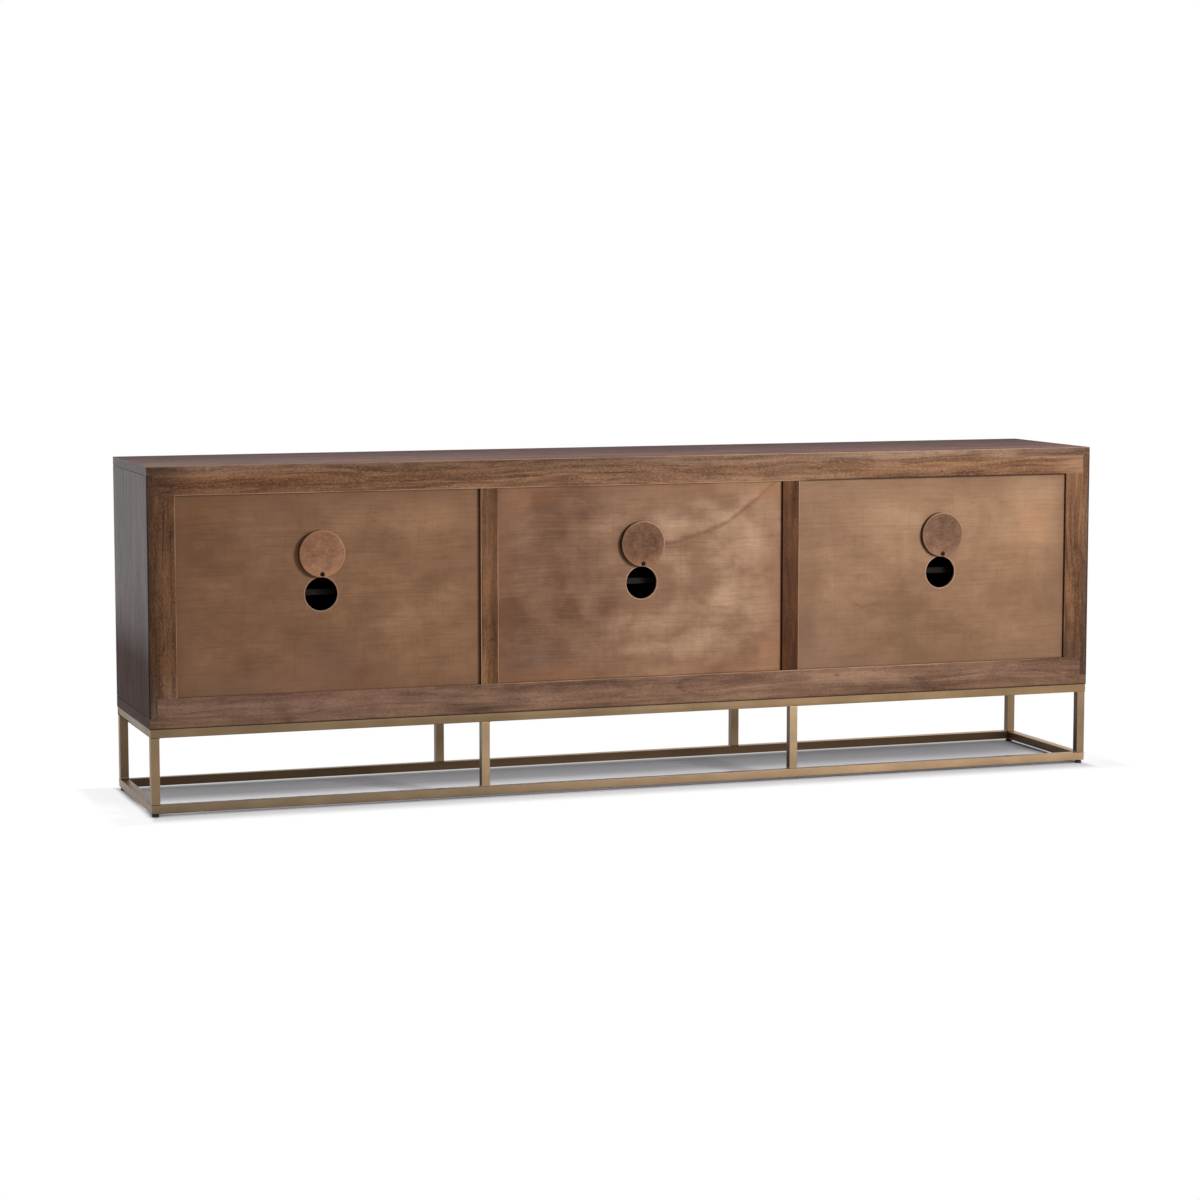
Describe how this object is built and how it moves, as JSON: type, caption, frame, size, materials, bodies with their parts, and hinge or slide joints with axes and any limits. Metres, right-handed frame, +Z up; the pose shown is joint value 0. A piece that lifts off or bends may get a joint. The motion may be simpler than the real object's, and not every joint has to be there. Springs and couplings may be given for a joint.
{
  "type": "media cabinet",
  "caption": "Long low wooden media cabinet with paired doors, a framed back with covered cable holes and an open square-tube metal base on levelling feet.",
  "frame": {"origin": "on the floor under the middle of the case", "axes": "+X along the length to the right as seen from the doors, doors face -Y, the pictured back faces +Y, +Z up"},
  "size_m": [2.388, 0.4292, 0.803],
  "materials": {
    "frame_wood": "stained, satin",
    "panel_wood": "stained, satin",
    "antique_brass_tube": "satin antique brass on steel",
    "brass_hardware": "satin",
    "dark_steel": "blackened",
    "black_nylon": "matte"
  },
  "bodies": {
    "case": {"back_bottom_rail": "frame_wood", "back_end_stiles": "frame_wood", "back_mid_stiles": "frame_wood", "back_top_rail": "frame_wood", "base_corner_legs": "antique_brass_tube", "base_lower_rails": "antique_brass_tube", "base_middle_legs": "antique_brass_tube", "base_screws": "dark_steel", "base_upper_rails": "antique_brass_tube", "bottom_board": "frame_wood", "case_hinge_leaves": "brass_hardware", "cover_nuts": "dark_steel", "cover_screws": "dark_steel", "cover_washers": "dark_steel", "door_catches": "black_nylon", "foot_inserts": "dark_steel", "hinge_pins": "brass_hardware", "left_back_panel": "panel_wood", "left_partition": "frame_wood", "left_shelf": "frame_wood", "left_side": "frame_wood", "middle_back_panel": "panel_wood", "middle_shelf": "frame_wood", "right_back_panel": "panel_wood", "right_partition": "frame_wood", "right_shelf": "frame_wood", "right_side": "frame_wood", "shelf_pins": "dark_steel", "top_board": "frame_wood"},
    "left_bay_left_door": {"left_bay_left_door_frame": "frame_wood", "left_bay_left_door_panel": "panel_wood", "left_bay_left_door_knob": "brass_hardware", "left_bay_left_door_hardware": "brass_hardware"},
    "left_bay_right_door": {"left_bay_right_door_frame": "frame_wood", "left_bay_right_door_panel": "panel_wood", "left_bay_right_door_knob": "brass_hardware", "left_bay_right_door_hardware": "brass_hardware"},
    "middle_bay_left_door": {"middle_bay_left_door_frame": "frame_wood", "middle_bay_left_door_panel": "panel_wood", "middle_bay_left_door_knob": "brass_hardware", "middle_bay_left_door_hardware": "brass_hardware"},
    "middle_bay_right_door": {"middle_bay_right_door_frame": "frame_wood", "middle_bay_right_door_panel": "panel_wood", "middle_bay_right_door_knob": "brass_hardware", "middle_bay_right_door_hardware": "brass_hardware"},
    "right_bay_left_door": {"right_bay_left_door_frame": "frame_wood", "right_bay_left_door_panel": "panel_wood", "right_bay_left_door_knob": "brass_hardware", "right_bay_left_door_hardware": "brass_hardware"},
    "right_bay_right_door": {"right_bay_right_door_frame": "frame_wood", "right_bay_right_door_panel": "panel_wood", "right_bay_right_door_knob": "brass_hardware", "right_bay_right_door_hardware": "brass_hardware"},
    "left_cable_cover": {"left_cable_cover": "panel_wood"},
    "middle_cable_cover": {"middle_cable_cover": "panel_wood"},
    "right_cable_cover": {"right_cable_cover": "panel_wood"},
    "front_left_foot": {"front_left_foot": "black_nylon"},
    "front_right_foot": {"front_right_foot": "black_nylon"},
    "back_left_foot": {"back_left_foot": "black_nylon"},
    "back_right_foot": {"back_right_foot": "black_nylon"}
  },
  "joints": [
    {"name": "left_bay_left_door_hinge", "type": "hinge", "parent": "case", "child": "left_bay_left_door", "pos_m": [-1.1745, -0.2085, 0.5055], "axis": [0, 0, -1], "range_deg": [0, 90]},
    {"name": "left_bay_right_door_hinge", "type": "hinge", "parent": "case", "child": "left_bay_right_door", "pos_m": [-0.4055, -0.2085, 0.5055], "axis": [0, 0, 1], "range_deg": [0, 90]},
    {"name": "middle_bay_left_door_hinge", "type": "hinge", "parent": "case", "child": "middle_bay_left_door", "pos_m": [-0.3825, -0.2085, 0.5055], "axis": [0, 0, -1], "range_deg": [0, 90]},
    {"name": "middle_bay_right_door_hinge", "type": "hinge", "parent": "case", "child": "middle_bay_right_door", "pos_m": [0.3825, -0.2085, 0.5055], "axis": [0, 0, 1], "range_deg": [0, 90]},
    {"name": "right_bay_left_door_hinge", "type": "hinge", "parent": "case", "child": "right_bay_left_door", "pos_m": [0.4055, -0.2085, 0.5055], "axis": [0, 0, -1], "range_deg": [0, 90]},
    {"name": "right_bay_right_door_hinge", "type": "hinge", "parent": "case", "child": "right_bay_right_door", "pos_m": [1.1745, -0.2085, 0.5055], "axis": [0, 0, 1], "range_deg": [0, 90]},
    {"name": "left_cable_cover_pivot", "type": "hinge", "parent": "case", "child": "left_cable_cover", "pos_m": [-0.788, 0.2032, 0.547], "axis": [0, 1, 0], "continuous": true},
    {"name": "middle_cable_cover_pivot", "type": "hinge", "parent": "case", "child": "middle_cable_cover", "pos_m": [0, 0.2032, 0.547], "axis": [0, 1, 0], "continuous": true},
    {"name": "right_cable_cover_pivot", "type": "hinge", "parent": "case", "child": "right_cable_cover", "pos_m": [0.788, 0.2032, 0.547], "axis": [0, 1, 0], "continuous": true},
    {"name": "front_left_foot_turn", "type": "hinge", "parent": "case", "child": "front_left_foot", "pos_m": [-1.182, -0.193, 0.008], "axis": [0, 0, 1], "continuous": true},
    {"name": "front_right_foot_turn", "type": "hinge", "parent": "case", "child": "front_right_foot", "pos_m": [1.182, -0.193, 0.008], "axis": [0, 0, 1], "continuous": true},
    {"name": "back_left_foot_turn", "type": "hinge", "parent": "case", "child": "back_left_foot", "pos_m": [-1.182, 0.193, 0.008], "axis": [0, 0, 1], "continuous": true},
    {"name": "back_right_foot_turn", "type": "hinge", "parent": "case", "child": "back_right_foot", "pos_m": [1.182, 0.193, 0.008], "axis": [0, 0, 1], "continuous": true}
  ]
}
